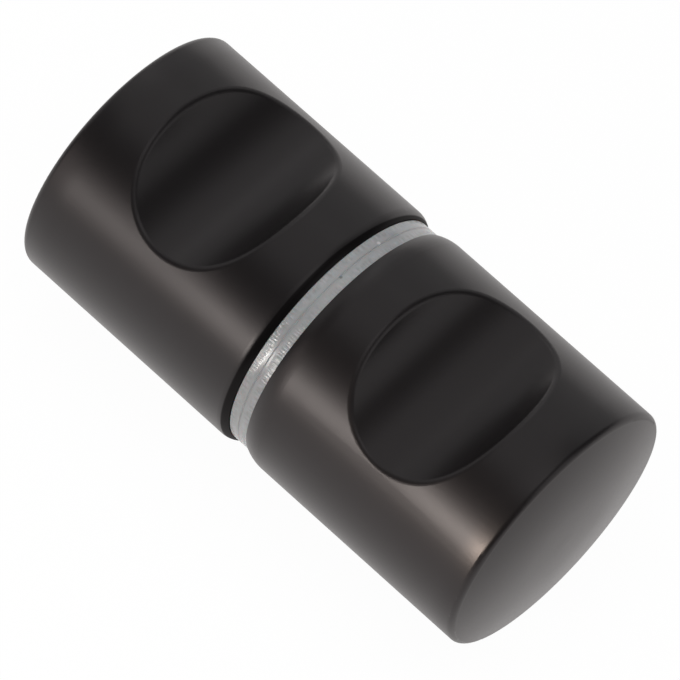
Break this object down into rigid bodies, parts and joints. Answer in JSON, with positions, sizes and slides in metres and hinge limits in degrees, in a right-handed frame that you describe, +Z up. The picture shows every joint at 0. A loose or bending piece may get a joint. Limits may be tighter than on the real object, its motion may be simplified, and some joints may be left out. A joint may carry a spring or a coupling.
{
  "type": "shower door handle",
  "caption": "Back-to-back cylindrical knob handle for a glass shower door: satin black turned knobs with finger scoops, clear gaskets between them and a stud through the glass.",
  "frame": {"origin": "on the knobs' axis, midway between the two gaskets, where the glass is clamped", "axes": "+Y along the knobs' axis towards the inside of the door, +Z up the door, +X across it; the outside knob is at -Y and its finger scoops face +Z and -Z"},
  "size_m": [0.03, 0.0636, 0.03],
  "materials": {
    "knob_black": "satin black coat on turned metal",
    "gasket_clear": "clear soft plastic, slightly hazy",
    "stud_steel": "bright zinc plated thread",
    "sleeve_nylon": "natural moulded plastic"
  },
  "bodies": {
    "root": {"outside_knob": "knob_black", "inside_knob": "knob_black", "outside_gasket": "gasket_clear", "inside_gasket": "gasket_clear", "joining_stud": "stud_steel", "glass_hole_sleeve": "sleeve_nylon"}
  },
  "joints": []
}
